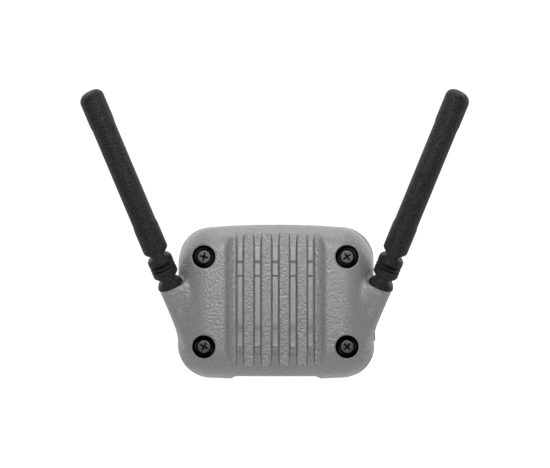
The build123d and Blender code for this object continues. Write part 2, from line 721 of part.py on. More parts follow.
def board_header():
    """Header on the rear of the board above the power socket."""
    body = block(0, -14, 11, 5, BOARD_REAR - 5, BOARD_REAR)
    for i in range(4):
        body -= Pos(2.4 * (i - 1.5), -BOARD_REAR + 2.8, -15.6) * Box(1.7, 1.7, 2.2)
    return body


def wire_harness():
    """Four leads from the socket contacts to the header."""
    wires = []
    slots = (3, 0, 1, 2)
    for (x, y), slot in zip(contact_places(), slots):
        start = Vector(x, y - SOCKET_DEPTH, SOCKET_TOP + 1.5 + FIT)
        end = Vector(2.4 * (slot - 1.5), -BOARD_REAR + 2.8, -14.8)
        route = Spline(start, end, tangents=[(0, 0, 1), (0, 0, 1)])
        wires.append(sweep(Plane(origin=route @ 0, z_dir=route % 0) * Circle(0.5), path=route))
    return Compound(children=wires)


PARTS = {
    "front_housing": front_housing,
    "rear_cover": rear_cover,
    "housing_gasket": housing_gasket,
    "cover_screws": cover_screws,
    "screw_washers": screw_washers,
    "cover_screw_inserts": lambda: inserts(SCREW_PLACES, SEAM_DEPTH - INSERT_LENGTH),
    "mount_inserts": lambda: inserts(MOUNT_PLACES, 0),
    "main_board": main_board,
    "board_screws": board_screws,
    "radio_shield": radio_shield,
    "radio_chips": radio_chips,
    "thermal_pad": thermal_pad,
    "status_lens": status_lens,
    "status_leds": status_leds,
    "vent_plug": vent_plug,
    "coax_sockets": coax_sockets,
    "power_socket_shell": power_socket_shell,
    "power_socket_insert": power_socket_insert,
    "power_socket_contacts": power_socket_contacts,
    "power_socket_nut": power_socket_nut,
    "power_socket_seal": power_socket_seal,
    "board_header": board_header,
    "wire_harness": wire_harness,
}
PAIRED_PARTS = {
    "coax": coax,
    "bushing": bushing,
    "antenna_stud": stud,
    "antenna_base": antenna_base,
    "collar_lower": collar_lower,
    "collar_upper": collar_upper,
    "antenna_mast": antenna_mast,
    "tip_cap": tip_cap,
    "former": former,
    "radiator": radiator,
}

os.makedirs("parts", exist_ok=True)
for name, make in PARTS.items():
    export_step(make(), f"parts/{name}.step")
for name, make in PAIRED_PARTS.items():
    for prefix, side in (("left", -1), ("right", 1)):
        export_step(make(side), f"parts/{prefix}_{name}.step")
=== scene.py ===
"""Looks of the dual-antenna radio unit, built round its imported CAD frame.

The front housing and the two rubber antennas are solids written as distance fields, in millimetres, and
meshed here. Every other CAD node keeps its shape and gets a finish. Fields are negative inside the solid.
"""

import json
from math import cos, hypot, radians, sin

import bpy
import numpy as np
import openvdb
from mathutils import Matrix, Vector

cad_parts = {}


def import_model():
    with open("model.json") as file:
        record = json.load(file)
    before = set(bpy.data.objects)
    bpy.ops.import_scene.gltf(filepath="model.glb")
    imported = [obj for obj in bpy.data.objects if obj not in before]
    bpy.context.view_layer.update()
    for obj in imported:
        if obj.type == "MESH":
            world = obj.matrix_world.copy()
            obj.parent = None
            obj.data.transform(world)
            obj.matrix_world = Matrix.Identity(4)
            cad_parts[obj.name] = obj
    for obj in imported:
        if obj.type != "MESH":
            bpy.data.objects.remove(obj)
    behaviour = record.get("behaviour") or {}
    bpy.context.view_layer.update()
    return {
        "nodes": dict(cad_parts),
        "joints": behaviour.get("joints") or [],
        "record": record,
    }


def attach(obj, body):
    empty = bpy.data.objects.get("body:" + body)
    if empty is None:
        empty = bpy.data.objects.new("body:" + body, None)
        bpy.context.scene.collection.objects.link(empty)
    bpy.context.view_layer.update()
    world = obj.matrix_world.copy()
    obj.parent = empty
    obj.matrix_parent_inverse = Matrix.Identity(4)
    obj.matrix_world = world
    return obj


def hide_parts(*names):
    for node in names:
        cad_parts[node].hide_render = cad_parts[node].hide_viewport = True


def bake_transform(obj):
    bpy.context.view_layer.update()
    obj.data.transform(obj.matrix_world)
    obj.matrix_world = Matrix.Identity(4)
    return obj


MM = 0.001
WHITE = 1.1

SHELL_STEP = 0.25
RUBBER_STEP = 0.16

# Housing outline as in the CAD, but for a slightly smaller radius at the top corners
TOP_HALF_WIDTH = 48.75
BOTTOM_HALF_WIDTH = 49.4
TOP_CROWN = 38.7
TOP_CROWN_DROP = 2.9
BOTTOM_CROWN = -39.1
BOTTOM_CROWN_RISE = 2.0
TOP_CORNER_R = 16.2
BOTTOM_CORNER_R = 15.7
FRONT = 36.0
SEAM = 9.2
SEAM_EDGE_R = 0.35
WALL = 3.0
CAVITY_FRONT = 30.5
CAVITY_EDGE_R = 9.5

# The front edge is rounder below and at the sides than above
EDGE_R = 15.7
EDGE_R_ABOVE = 12.5
EDGE_R_RISE = (14.0, 27.0)
EDGE_R_SPAN = (28.0, 44.0)

# Recess between the feet
RECESS_HALF = 20.8
RECESS_TOP = -37.45
RECESS_SPREAD = 1.15
RECESS_WALL_TOP = -34.2
RECESS_WALL_HALF = 24.8

# Ribbed panel
RIB_PITCH = 8.9
RIB_BASE = 4.0
OUTER_RIB = 2 * RIB_PITCH
PANEL_FLOOR = 33.0
PANEL_FLOOR_HALF = 22.2
BAND_FOOT_R = 1.5
BAND_MOUTH_R = 0.9
CHANNEL_TAPER = 0.2
CHANNEL_FOOT_R = 0.5
CHANNEL_MOUTH_R = 0.3
LAND_HALF = 1.15
LAND_TOP = 27.4
LAND_BOTTOM = -22.3
LAND_EDGE = 0.12
# The ribs' ends and two grooves across them lie this much lower than their lands
RELIEF = 0.25
# Height and half width of each groove
RIB_GROOVES = ((19.9, 0.6), (12.9, 0.4))
# Bands across the ribs painted darker and less glossy: painted shade over the two grooves, and two wider dark
# bands lower down. Columns: height, half length, how much darker, softness
RIB_DARK_BANDS = (
    (19.9, 0.6, 0.55, 0.25),
    (12.9, 0.35, 0.6, 0.2),
    (-13.2, 1.6, 0.32, 1.6),
    (-26.2, 3.6, 0.25, 0.3),
)
# Painted highlight: how far above their lower end the rib lands are painted lighter
PAINTED_GLINT_HEIGHT = 1.7

# Screws, posts and the things inside
SCREW_X = 35.85
SCREW_Z = 22.5
COUNTERBORE_R = 5.7
COUNTERBORE_EDGE_R = 0.9
SCREW_SEAT = 27.0
# Screw heads: depth of their tops, and how far below the top their top face reaches; below it the heads carry
# painted shade
HEAD_TOP = 30.9
HEAD_FACE = 0.25
SCREW_HOLE_R = 2.25
PILLAR_R = 7.7
POST_X = 23.5
POST_Z = 27.0
POST_R = 3.0
POST_FOOT = 20.0
POST_HOLE_R = 1.55
POST_HOLE_END = 28.0
PEDESTAL_HALF = (14.0, 11.0)
PEDESTAL_FOOT = 24.1
GASKET_INSET = 0.9
GASKET_WIDTH = 1.2
GASKET_END = 10.2
SOCKET_DEPTH = 17.4
SOCKET_HOLE_R = 6.1
SOCKET_HOLE_TOP = -28.0
SOCKET_LEDGE_R = 7.1
SOCKET_LEDGE_TOP = -36.45
SEAL_SEAT_R = 6.8
SEAL_SEAT_TOP = -35.55
LENS_HALF = 9.75
LENS_MIDDLE = 24.15
LENS_HALF_DEPTH = 3.15
LENS_THICK = 2.2
# Half width, middle depth and half depth of the well under the lens, and how far it reaches below the crown
LIGHT_WELL = (7.75, 23.6, 1.2)
LIGHT_WELL_DROP = 9

# Boss and antenna, along the antenna's own axis from the boss rim
BOSS_R = 7.1
BOSS_LENGTH = 30.0
BOSS_BLEND_R = 3.2
BOSS_FRONT = 6.7
BOSS_LEAN = 0.3
BOSS_LEAN_END = 8.0
BOSS_SHIFT = 1.2
BOSS_CORNER_R = 5.0
RIM_R = 7.35
RIM_HEIGHT = 2.3
SCOOP_R = 8.3
SCOOP_FLOOR = -0.7
SCOOP_HEIGHT = 14.0
SLEEVE_LENGTH = 14.0
SLEEVE_R = 5.7
BUSHING_R = 4.5
BUSHING_LENGTH = 11.0
FEED_R = 2.6
FEED_LENGTH = 24.0
FLANGE_R = 6.55
NECK_R = 6.37
BULGE_R = 6.35
SHAFT_R = 6.05
LOW_BEND = 5.54
HIGH_BEND = 18.07
WAIST_HALF = 3.3
FLANGE_TOP = 4.7
FLANGE_SLOPE = 0.75
COLLAR_LOW = 5.4
NOTCH_LIP = 0.66
NOTCH_SLOPE = 0.45
LOWER_SLOT = (10.0, 10.6)
UPPER_SLOT = (11.6, 12.7)
LOWER_BULGE_END = 33.6
SHAFT_START = 35.7
SHAFT_END = 89.0
UPPER_BULGE_START = 91.6
TIP = 108.4
TIP_EDGE_R = 3.3
TIP_DOME_R = 34.0
TIP_TILT = 2.5
BORE_R = 3.65
BORE_START = 24.9
BORE_END = 104.05


# ---------------------------------------------------------------- fields

def meet(a, b, r=0.0):
    """Where both solids are, with radius r on the edge they make."""
    if not r:
        return np.maximum(a, b)
    return np.minimum(np.maximum(a, b), -r) + np.hypot(np.maximum(a + r, 0), np.maximum(b + r, 0))


def join(a, b, r=0.0):
    """Both solids, with a fillet of radius r between them."""
    return -meet(-a, -b, r)


def cut(a, b, r=0.0):
    """The first solid without the second, with radius r on the mouth."""
    return meet(a, -b, r)


def between(value, low, high):
    """Slab between two planes."""
    return np.abs(value - (low + high) / 2) - (high - low) / 2


def smooth_step(value, low, high):
    t = np.clip((value - low) / (high - low), 0, 1)
    return t * t * (3 - 2 * t)


def arc_radius(half_chord, rise):
    return (half_chord ** 2 + rise ** 2) / (2 * rise)


def outline(x, z):
    """Front view of the housing: crowned top and bottom, sides that taper upwards."""
    top_z = TOP_CROWN - TOP_CROWN_DROP
    low_z = BOTTOM_CROWN + BOTTOM_CROWN_RISE
    taper = (BOTTOM_HALF_WIDTH - TOP_HALF_WIDTH) / (top_z - low_z)
    side = (np.abs(x) - BOTTOM_HALF_WIDTH + taper * (z - low_z)) / hypot(1, taper)
    top_r = arc_radius(TOP_HALF_WIDTH, TOP_CROWN_DROP)
    low_r = arc_radius(BOTTOM_HALF_WIDTH, BOTTOM_CROWN_RISE)
    top = np.hypot(x, z - TOP_CROWN + top_r) - top_r
    bottom = np.hypot(x, z - BOTTOM_CROWN - low_r) - low_r
    return meet(meet(side, top, TOP_CORNER_R), bottom, BOTTOM_CORNER_R)


def foot_recess(x, z):
    reach = (np.abs(x) - RECESS_HALF + RECESS_SPREAD * (z - RECESS_TOP)) / hypot(1, RECESS_SPREAD)
    return meet(z - RECESS_TOP, reach, 0.8)


def panel(x, depth):
    """What is missing between the ribs and in the coved band at each side, open above and below."""
    rise = depth - PANEL_FLOOR
    off = np.abs(x)
    across = np.abs(off - RIB_PITCH * (np.floor(off / RIB_PITCH) + 0.5))
    walls = (across - (RIB_PITCH - RIB_BASE) / 2 - CHANNEL_TAPER * rise) / hypot(1, CHANNEL_TAPER)
    walls = np.maximum(walls, off - OUTER_RIB)
    channels = meet(walls, -rise, CHANNEL_FOOT_R)
    inner = (OUTER_RIB + RIB_BASE / 2 - CHANNEL_TAPER * rise - off) / hypot(1, CHANNEL_TAPER)
    outer = (off - PANEL_FLOOR_HALF - rise) / hypot(1, 1)
    bands = np.maximum(inner, meet(outer, -rise, BAND_FOOT_R))
    return channels, bands


def rib_relief(x, depth, z):
    """What is missing at the ribs' lower ends and at the two grooves across each rib."""
    gaps = -between(z, LAND_BOTTOM, LAND_TOP)
    for height, half in RIB_GROOVES:
        gaps = np.minimum(gaps, between(z, height - half, height + half))
    gaps = np.maximum(gaps, np.abs(x) - OUTER_RIB - RIB_BASE)
    return meet(gaps, FRONT - RELIEF - depth, 0.1)


def solid_front(x, depth, z):
    """Rounded body, without its openings."""
    share = smooth_step(z, *EDGE_R_RISE) * (1 - smooth_step(np.abs(x), *EDGE_R_SPAN))
    edge_r = EDGE_R + (EDGE_R_ABOVE - EDGE_R) * share
    plan = outline(x, z)
    front = depth - FRONT
    inner = np.minimum(np.maximum(plan, front), -edge_r)
    return inner + np.hypot(np.maximum(plan + edge_r, 0), np.maximum(front + edge_r, 0))


def cavity(x, depth, z, along, round_axis):
    """Inside of the front housing, less what stands in it."""
    room = meet(outline(x, z) + WALL, depth - CAVITY_FRONT, CAVITY_EDGE_R)
    tall = np.abs(z)
    wide = np.abs(x)
    room = cut(room, np.hypot(wide - SCREW_X, tall - SCREW_Z) - PILLAR_R, 0.8)
    room = cut(room, np.maximum(round_axis - BOSS_R, -SLEEVE_LENGTH - along), 0.5)
    room = cut(room, np.maximum(np.hypot(wide - POST_X, tall - POST_Z) - POST_R, POST_FOOT - depth), 0.3)
    pedestal = np.maximum(np.maximum(wide - PEDESTAL_HALF[0], tall - PEDESTAL_HALF[1]), PEDESTAL_FOOT - depth)
    room = cut(room, pedestal, 0.3)
    return cut(room, np.maximum(wide - RECESS_WALL_HALF, z - RECESS_WALL_TOP), 0.3)


def bores(x, depth, z, along, round_axis):
    """Every round opening of the front housing, apart from the counterbores."""
    tall = np.abs(z)
    wide = np.abs(x)
    seat = np.maximum(round_axis - BUSHING_R, -BUSHING_LENGTH - along)
    feed = np.maximum(round_axis - FEED_R, between(along, -FEED_LENGTH, 0))
    screws = np.maximum(np.hypot(wide - SCREW_X, tall - SCREW_Z) - SCREW_HOLE_R, depth - SCREW_SEAT - 1)
    post = np.hypot(wide - POST_X, tall - POST_Z) - POST_HOLE_R
    posts = np.maximum(post, between(depth, POST_FOOT - 1, POST_HOLE_END))
    round_socket = np.hypot(x, depth - SOCKET_DEPTH)
    socket = np.maximum(round_socket - SOCKET_HOLE_R, z - SOCKET_HOLE_TOP)
    ledge = np.maximum(round_socket - SOCKET_LEDGE_R, z - SOCKET_LEDGE_TOP)
    seal = np.maximum(round_socket - SEAL_SEAT_R, z - SEAL_SEAT_TOP)
    openings = seat
    for other in (feed, screws, posts, socket, ledge, seal):
        openings = np.minimum(openings, other)
    return openings


def lens_pocket(x, depth, z, body):
    window = np.maximum(np.abs(x) - LENS_HALF, np.abs(depth - LENS_MIDDLE) - LENS_HALF_DEPTH)
    window = np.maximum(np.maximum(window, -LENS_THICK - body), -z)
    half, middle, half_depth = LIGHT_WELL
    well = np.maximum(np.abs(x) - half, np.abs(depth - middle) - half_depth)
    well = np.maximum(well, TOP_CROWN - LIGHT_WELL_DROP - z)
    return np.minimum(window, well)


def gasket_groove(plan, depth):
    ring = between(-plan, GASKET_INSET, GASKET_INSET + GASKET_WIDTH)
    return np.maximum(ring, depth - GASKET_END)


def boss(across, ahead, along):
    """Antenna boss: half round behind, flatter in front, where it leans back below its rim."""
    down = np.clip(along + RIM_HEIGHT, -BOSS_LEAN_END, 0)
    lean = (ahead - BOSS_FRONT - BOSS_LEAN * down) / hypot(1, BOSS_LEAN)
    flat = meet(np.abs(across) - BOSS_R, lean, BOSS_CORNER_R)
    section = np.where(ahead > 0, flat, np.hypot(across, ahead) - BOSS_R)
    return meet(section, between(along, -BOSS_LENGTH, 0), 0.4)


def front_shell(x, y, z, axes):
    """Front housing: rounded body, bosses, panel, counterbores and all that is hollow."""
    depth = -y
    across, forward, along = axes.local(np.abs(x), y, z)
    round_axis = np.hypot(across, forward)
    body = solid_front(x, depth, z)
    scoop = meet(round_axis - SCOOP_R, between(along, SCOOP_FLOOR, SCOOP_HEIGHT), 1.0)
    shell = cut(body, scoop, 0.8)
    inward = across - BOSS_SHIFT
    shell = join(shell, boss(inward, axes.origin.y - y, along), BOSS_BLEND_R)
    rim = meet(np.hypot(inward, forward) - RIM_R, between(along, -RIM_HEIGHT, 0), 0.45)
    shell = join(shell, rim, 0.1)
    sleeve = np.maximum(round_axis - SLEEVE_R, between(along, -SLEEVE_LENGTH, -RIM_HEIGHT))
    shell = join(shell, sleeve, 1.0)
    channels, bands = panel(x, depth)
    shell = cut(shell, bands, BAND_MOUTH_R)
    shell = cut(shell, channels, CHANNEL_MOUTH_R)
    shell = cut(shell, rib_relief(x, depth, z), 0.1)
    bore = np.hypot(np.abs(x) - SCREW_X, np.abs(z) - SCREW_Z) - COUNTERBORE_R
    shell = cut(shell, meet(bore, SCREW_SEAT - depth, 0.3), COUNTERBORE_EDGE_R)
    shell = cut(shell, cavity(x, depth, z, along, round_axis), 0.2)
    shell = cut(shell, bores(x, depth, z, along, round_axis), 0.15)
    shell = cut(shell, foot_recess(x, z), 0.4)
    shell = cut(shell, lens_pocket(x, depth, z, body), 0.15)
    shell = meet(shell, SEAM - depth, SEAM_EDGE_R)
    return cut(shell, gasket_groove(outline(x, z), depth), 0.1)


# ---------------------------------------------------------------- antenna fields

class AntennaAxes:
    """Frame of one antenna, read from its joints: origin on the boss rim, first axis towards the body's
    middle, third axis along the antenna."""

    def __init__(self, joints, side):
        low = joints[side + "_side_bend_low"]
        fore = joints[side + "_fore_bend"]
        high = joints[side + "_side_bend_high"]
        start = Vector(low["pos_m"]) / MM
        end = Vector(high["pos_m"]) / MM
        self.along = (end - start).normalized()
        across = Vector(fore["axis"])
        across = (across - self.along * across.dot(self.along)).normalized()
        self.across = -across if across.x * start.x > 0 else across
        self.forward = self.along.cross(self.across)
        self.origin = start - self.along * LOW_BEND

    def local(self, x, y, z):
        """Points of the row frame in this frame."""
        dx = x - self.origin.x
        dy = y - self.origin.y
        dz = z - self.origin.z
        return [dx * a.x + dy * a.y + dz * a.z for a in (self.across, self.forward, self.along)]

    def place(self, points):
        """Points of this frame in the row frame, in metres."""
        basis = np.array([self.across, self.forward, self.along])
        return (np.array(self.origin) + points @ basis) * MM

    def spot(self, height):
        """The point on the antenna's axis at a height above the rim, in metres."""
        return (self.origin + self.along * height) * MM


def notch(u, w, height, r):
    """V notch at each side of the upper waist, with a rounded bottom."""
    off = np.abs(u)
    opening = (np.abs(w - height) - NOTCH_LIP - NOTCH_SLOPE * (off - WAIST_HALF)) / hypot(1, NOTCH_SLOPE)
    return meet(opening, WAIST_HALF - off, r)


def antenna_foot(u, v, w):
    """Rounded flange, lower waist and the collar's lower half, up to the first slot."""
    off = np.abs(u) - WAIST_HALF
    radial = np.hypot(u, v)
    top = (w - FLANGE_TOP + FLANGE_SLOPE * off) / hypot(1, FLANGE_SLOPE)
    flange = meet(meet(radial - FLANGE_R, -w, 0.5), top, 1.3)
    low = (COLLAR_LOW + NOTCH_SLOPE * off - w) / hypot(1, NOTCH_SLOPE)
    collar = meet(meet(radial - NECK_R, low, 0.5), w - LOWER_SLOT[0], 0.3)
    waist = np.maximum(meet(radial - NECK_R + 0.1, off, 0.6), between(w, 2.0, 8.0))
    return join(join(flange, waist, 0.4), collar, 0.4)


def antenna_leaf(u, v, w):
    """Thin leaf between the two slots, on the waist that bends to the front and back."""
    waist = meet(np.hypot(u, v) - NECK_R + 0.15, np.abs(v) - WAIST_HALF + 0.2, 0.4)
    waist = np.maximum(waist, between(w, LOWER_SLOT[0] - 0.6, UPPER_SLOT[1] + 0.6))
    leaf = meet(np.hypot(u, v) - NECK_R, between(w, LOWER_SLOT[1], UPPER_SLOT[0]), 0.3)
    return join(waist, leaf, 0.25)


def sheath_radius(w):
    """Outer radius of the sheath at each height."""
    heights = (0, HIGH_BEND, HIGH_BEND + 0.5, LOWER_BULGE_END, SHAFT_START, SHAFT_END, UPPER_BULGE_START, TIP)
    radii = (NECK_R, NECK_R, BULGE_R, BULGE_R, SHAFT_R, SHAFT_R, BULGE_R, BULGE_R)
    return np.interp(w, heights, radii)


def antenna_sheath(u, v, w):
    """Collar's upper half, upper waist and the whole sheath up to its rounded tip, bored for the radiator."""
    radial = np.hypot(u, v)
    body = radial - sheath_radius(w)
    dome = np.hypot(np.hypot(u - TIP_TILT, v), np.maximum(w - TIP + TIP_DOME_R, 0)) - TIP_DOME_R
    body = meet(body, dome, TIP_EDGE_R)
    body = meet(body, UPPER_SLOT[1] + 0.08 * np.abs(v) - w, 0.3)
    body = cut(body, notch(u, w, HIGH_BEND, 0.55), 0.8)
    return cut(body, meet(radial - BORE_R, between(w, BORE_START, BORE_END), 0.3))


# ---------------------------------------------------------------- meshing

def gradient(field, points):
    """Slope of a field at points, by central differences."""
    reach = 0.02
    slope = np.empty_like(points)
    for axis in range(3):
        ahead = points.copy()
        behind = points.copy()
        ahead[:, axis] += reach
        behind[:, axis] -= reach
        slope[:, axis] = (field(*ahead.T) - field(*behind.T)) / (2 * reach)
    return slope


def field_surface(field, low, high, step, mirrored=False):
    """Points, faces and normals of a field's surface. A mirrored field is worked out for x >= 0 only."""
    spans = [np.arange(a, b + step, step, dtype=np.float32) for a, b in zip(low, high)]
    values = field(spans[0][:, None, None], spans[1][None, :, None], spans[2][None, None, :])
    values = np.ascontiguousarray(values, dtype=np.float32)
    start = np.array([span[0] for span in spans], dtype=float)
    if mirrored:
        start[0] = -float(spans[0][-1])
        values = np.concatenate([values[:0:-1], values])
    grid = openvdb.FloatGrid()
    grid.copyFromArray(np.clip(values, -4 * step, 4 * step))
    points, quads = grid.convertToQuads(isovalue=0.0)
    points = points.astype(float) * step + start
    for _ in range(2):
        slope = gradient(field, points)
        size = np.maximum((slope ** 2).sum(1), 0.25)
        shift = np.clip(field(*points.T) / size, -0.4 * step, 0.4 * step)
        points -= slope * shift[:, None]
    normals = gradient(field, points)
    normals /= np.maximum(np.linalg.norm(normals, axis=1), 1e-9)[:, None]
    return points, quads.tolist(), normals


def smooth_object(name, points, faces, material, normals=None):
    """Shaded-smooth mesh object from points in metres."""
    mesh = bpy.data.meshes.new(name)
    mesh.from_pydata(points.tolist(), [], faces)
    mesh.validate()
    mesh.update()
    mesh.shade_smooth()
    if normals is not None:
        mesh.normals_split_custom_set_from_vertices(normals.tolist())
    mesh.materials.append(material)
    piece = bpy.data.objects.new(name, mesh)
    bpy.context.scene.collection.objects.link(piece)
    return piece


def make_front_shell(axes, material):
    step = SHELL_STEP

    def field(x, y, z):
        return front_shell(x, y, z, axes)

    low = (0.0, -FRONT - 2, BOTTOM_CROWN - 2)
    high = (64.0, -SEAM + 1, TOP_CROWN + 2)
    points, faces, normals = field_surface(field, low, high, step, mirrored=True)
    piece = smooth_object("front_shell", points * MM, faces, material, normals)
    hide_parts("front_housing")
    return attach(piece, "housing")


def make_antenna(side, axes, material):
    """The three rubber pieces of one antenna, in place of its CAD nodes."""
    step = RUBBER_STEP
    reach = FLANGE_R + 1
    rows = (
        ("foot", antenna_foot, -1, LOWER_SLOT[0] + 1, "housing", "_neck_low", 3.8, 7.3,
         ("_antenna_base", "_collar_lower")),
        ("leaf", antenna_leaf, LOWER_SLOT[0] - 1.5, UPPER_SLOT[1] + 1.5, "_neck_low", "_neck_high",
         10.4, 12.7, ()),
        ("sheath", antenna_sheath, UPPER_SLOT[1] - 1, TIP + 1, "_neck_high", "_mast", 16.4, 19.8,
         ("_collar_upper", "_antenna_mast", "_tip_cap")),
    )
    for name, field, low, high, first, second, start, end, nodes in rows:
        points, faces, _ = field_surface(field, (-reach, -reach, low), (reach, reach, high), step)
        piece = smooth_object(side + "_" + name, axes.place(points), faces, material)
        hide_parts(*[side + node for node in nodes])
        axes.spot(start)
        axes.spot(end)
        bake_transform(piece)


# ---------------------------------------------------------------- materials

class Finish:
    """One node-based material. Sizes of grain are in millimetres."""

    def __init__(self, name, colour, roughness, metallic=0.0):
        self.material = bpy.data.materials.new(name)
        self.material.use_nodes = True
        self.tree = self.material.node_tree
        self.shader = self.tree.nodes["Principled BSDF"]
        self.set("Roughness", roughness)
        self.set("Metallic", metallic)
        self.colour = (*colour, 1.0)
        self.set("Base Color", self.colour)
        self.coordinates = self.node("ShaderNodeTexCoord").outputs["Object"]

    def node(self, kind, **values):
        made = self.tree.nodes.new(kind)
        for key, value in values.items():
            setattr(made, key, value)
        return made

    def link(self, source, target):
        self.tree.links.new(source, target)

    def set(self, socket, value):
        self.shader.inputs[socket].default_value = value

    def noise(self, grain, detail=2.0, stretch=None):
        """Noise whose grain has this size in millimetres, stretched along an axis if asked."""
        texture = self.node("ShaderNodeTexNoise")
        texture.inputs["Scale"].default_value = 1 / (grain * MM)
        texture.inputs["Detail"].default_value = detail
        source = self.coordinates
        if stretch:
            mapping = self.node("ShaderNodeMapping")
            mapping.inputs["Scale"].default_value = stretch
            self.link(source, mapping.inputs["Vector"])
            source = mapping.outputs["Vector"]
        self.link(source, texture.inputs["Vector"])
        return texture.outputs["Fac"]

    def pebbles(self, grain):
        """Rounded pebbles of this size in millimetres."""
        texture = self.node("ShaderNodeTexVoronoi", feature="SMOOTH_F1")
        texture.inputs["Scale"].default_value = 1 / (grain * MM)
        texture.inputs["Smoothness"].default_value = 1.0
        self.link(self.coordinates, texture.inputs["Vector"])
        return texture.outputs["Distance"]

    def place(self):
        """Place on the unit along each axis, in millimetres."""
        split = self.node("ShaderNodeSeparateXYZ")
        self.link(self.coordinates, split.inputs["Vector"])
        return [self.math("DIVIDE", split.outputs[axis], MM) for axis in "XYZ"]

    def math(self, operation, *values):
        """Arithmetic on sockets and numbers."""
        made = self.node("ShaderNodeMath", operation=operation)
        for slot, value in zip(made.inputs, values):
            if isinstance(value, (int, float)):
                slot.default_value = value
            else:
                self.link(value, slot)
        return made.outputs["Value"]

    def ranged(self, source, low, high, to_low, to_high):
        """Maps a range of a socket to another range."""
        made = self.node("ShaderNodeMapRange")
        for slot, value in zip(list(made.inputs)[1:5], (low, high, to_low, to_high)):
            slot.default_value = value
        self.link(source, made.inputs["Value"])
        return made.outputs["Result"]

    def below(self, source, limit, soft):
        """1 where a socket is below a limit, 0 above, over a soft edge."""
        return self.ranged(source, limit - soft, limit + soft, 1, 0)

    def vary_colour(self, source, darker, lighter):
        """Base colour that runs from darker to lighter times the plain one."""
        ramp = self.node("ShaderNodeMix", data_type="RGBA")
        ramp.inputs["A"].default_value = [c * darker for c in self.colour[:3]] + [1]
        ramp.inputs["B"].default_value = [c * lighter for c in self.colour[:3]] + [1]
        self.link(source, ramp.inputs["Factor"])
        self.link(ramp.outputs["Result"], self.shader.inputs["Base Color"])

    def vary_roughness(self, source, low, high):
        self.link(self.ranged(source, 0.3, 0.7, low, high), self.shader.inputs["Roughness"])

    def bump(self, height, distance, strength=1.0):
        """Bump of a height socket, in millimetres."""
        made = self.node("ShaderNodeBump")
        made.inputs["Distance"].default_value = distance * MM
        if isinstance(strength, (int, float)):
            made.inputs["Strength"].default_value = strength
        else:
            self.link(strength, made.inputs["Strength"])
        self.link(height, made.inputs["Height"])
        self.link(made.outputs["Normal"], self.shader.inputs["Normal"])


def rib_paint(coat, x, y, z):
    """Shares of land, of painted dark bands and of painted highlight over the rib tops, from the place on the
    shell.
    """
    off = coat.math("PINGPONG", x, RIB_PITCH / 2)
    near = coat.math("MULTIPLY", coat.below(coat.math("ABSOLUTE", x), OUTER_RIB + RIB_BASE, 0.1),
                     coat.below(y, 0.4 - FRONT, 0.1))
    on_land = coat.math("MULTIPLY", near, coat.below(off, LAND_HALF, LAND_EDGE))
    middle = (LAND_TOP + LAND_BOTTOM) / 2
    from_middle = coat.math("ABSOLUTE", coat.math("SUBTRACT", z, middle))
    land = coat.math("MULTIPLY", on_land, coat.below(from_middle, LAND_TOP - middle, LAND_EDGE))
    # Painted highlight: the lower end of each land is painted lighter
    painted_glint = coat.math("MULTIPLY", land, coat.below(z, LAND_BOTTOM + PAINTED_GLINT_HEIGHT, 0.3))
    dark_band = 0.0
    # Painted dark bands across the ribs: painted shade over the grooves, plain darker bands lower down
    for height, half, share, soft in RIB_DARK_BANDS:
        from_band = coat.math("ABSOLUTE", coat.math("SUBTRACT", z, height))
        dark = coat.math("MULTIPLY", coat.below(from_band, half, soft), share)
        dark_band = coat.math("ADD", dark, dark_band)
    dark_band = coat.math("MULTIPLY", dark_band, coat.math("MULTIPLY", near, coat.below(off, LAND_HALF + 0.4, 0.2)))
    return land, dark_band, painted_glint


def painted_bore_shade(coat, x, y, z):
    """Painted shade: 1 in the counterbores, which are painted black, 0 elsewhere."""
    wide = coat.math("SUBTRACT", coat.math("ABSOLUTE", x), SCREW_X)
    tall = coat.math("SUBTRACT", coat.math("ABSOLUTE", z), SCREW_Z)
    spread = coat.math("ADD", coat.math("MULTIPLY", wide, wide), coat.math("MULTIPLY", tall, tall))
    inside = coat.below(spread, (COUNTERBORE_R + 0.1) ** 2, 1.0)
    return coat.math("MULTIPLY", inside, coat.below(y, 1 - SCREW_SEAT, 0.2))


def grey_coat():
    """Satin powder coat with a pebble texture, smooth on the rib lands. Painted shade makes the counterbores
    black; the ribs carry painted dark bands and a painted highlight.
    """
    coat = Finish("grey_coat", (0.17, 0.172, 0.175), 0.42)
    place = coat.place()
    land, dark_band, painted_glint = rib_paint(coat, *place)
    # Painted shade in the counterbores
    bore = painted_bore_shade(coat, *place)
    pebbles = coat.pebbles(1.0)
    fine = coat.noise(0.5, 3)
    height = coat.math("ADD", coat.math("MULTIPLY", pebbles, -1.0), coat.math("MULTIPLY", fine, 0.4))
    textured = coat.math("SUBTRACT", 1.0, coat.math("MULTIPLY", land, 0.9))
    coat.bump(height, 0.3, textured)
    tone = coat.math("ADD", coat.ranged(pebbles, 0.1, 0.7, 0.68, 0.52), coat.math("MULTIPLY", land, 0.05))
    # Painted highlight on the lower ends of the lands
    tone = coat.math("ADD", tone, coat.math("MULTIPLY", painted_glint, 0.2))
    # The counterbores, as painted shade, and the dark bands lose colour and sheen
    kept = coat.math("MULTIPLY", coat.math("SUBTRACT", 1.0, dark_band), coat.math("SUBTRACT", 1.0, bore))
    coat.vary_colour(coat.math("ADD", coat.math("MULTIPLY", tone, kept), 0.01), 0.0, 1.6)
    coat.link(coat.math("MULTIPLY", kept, 0.75), coat.shader.inputs["Specular IOR Level"])
    return coat.material


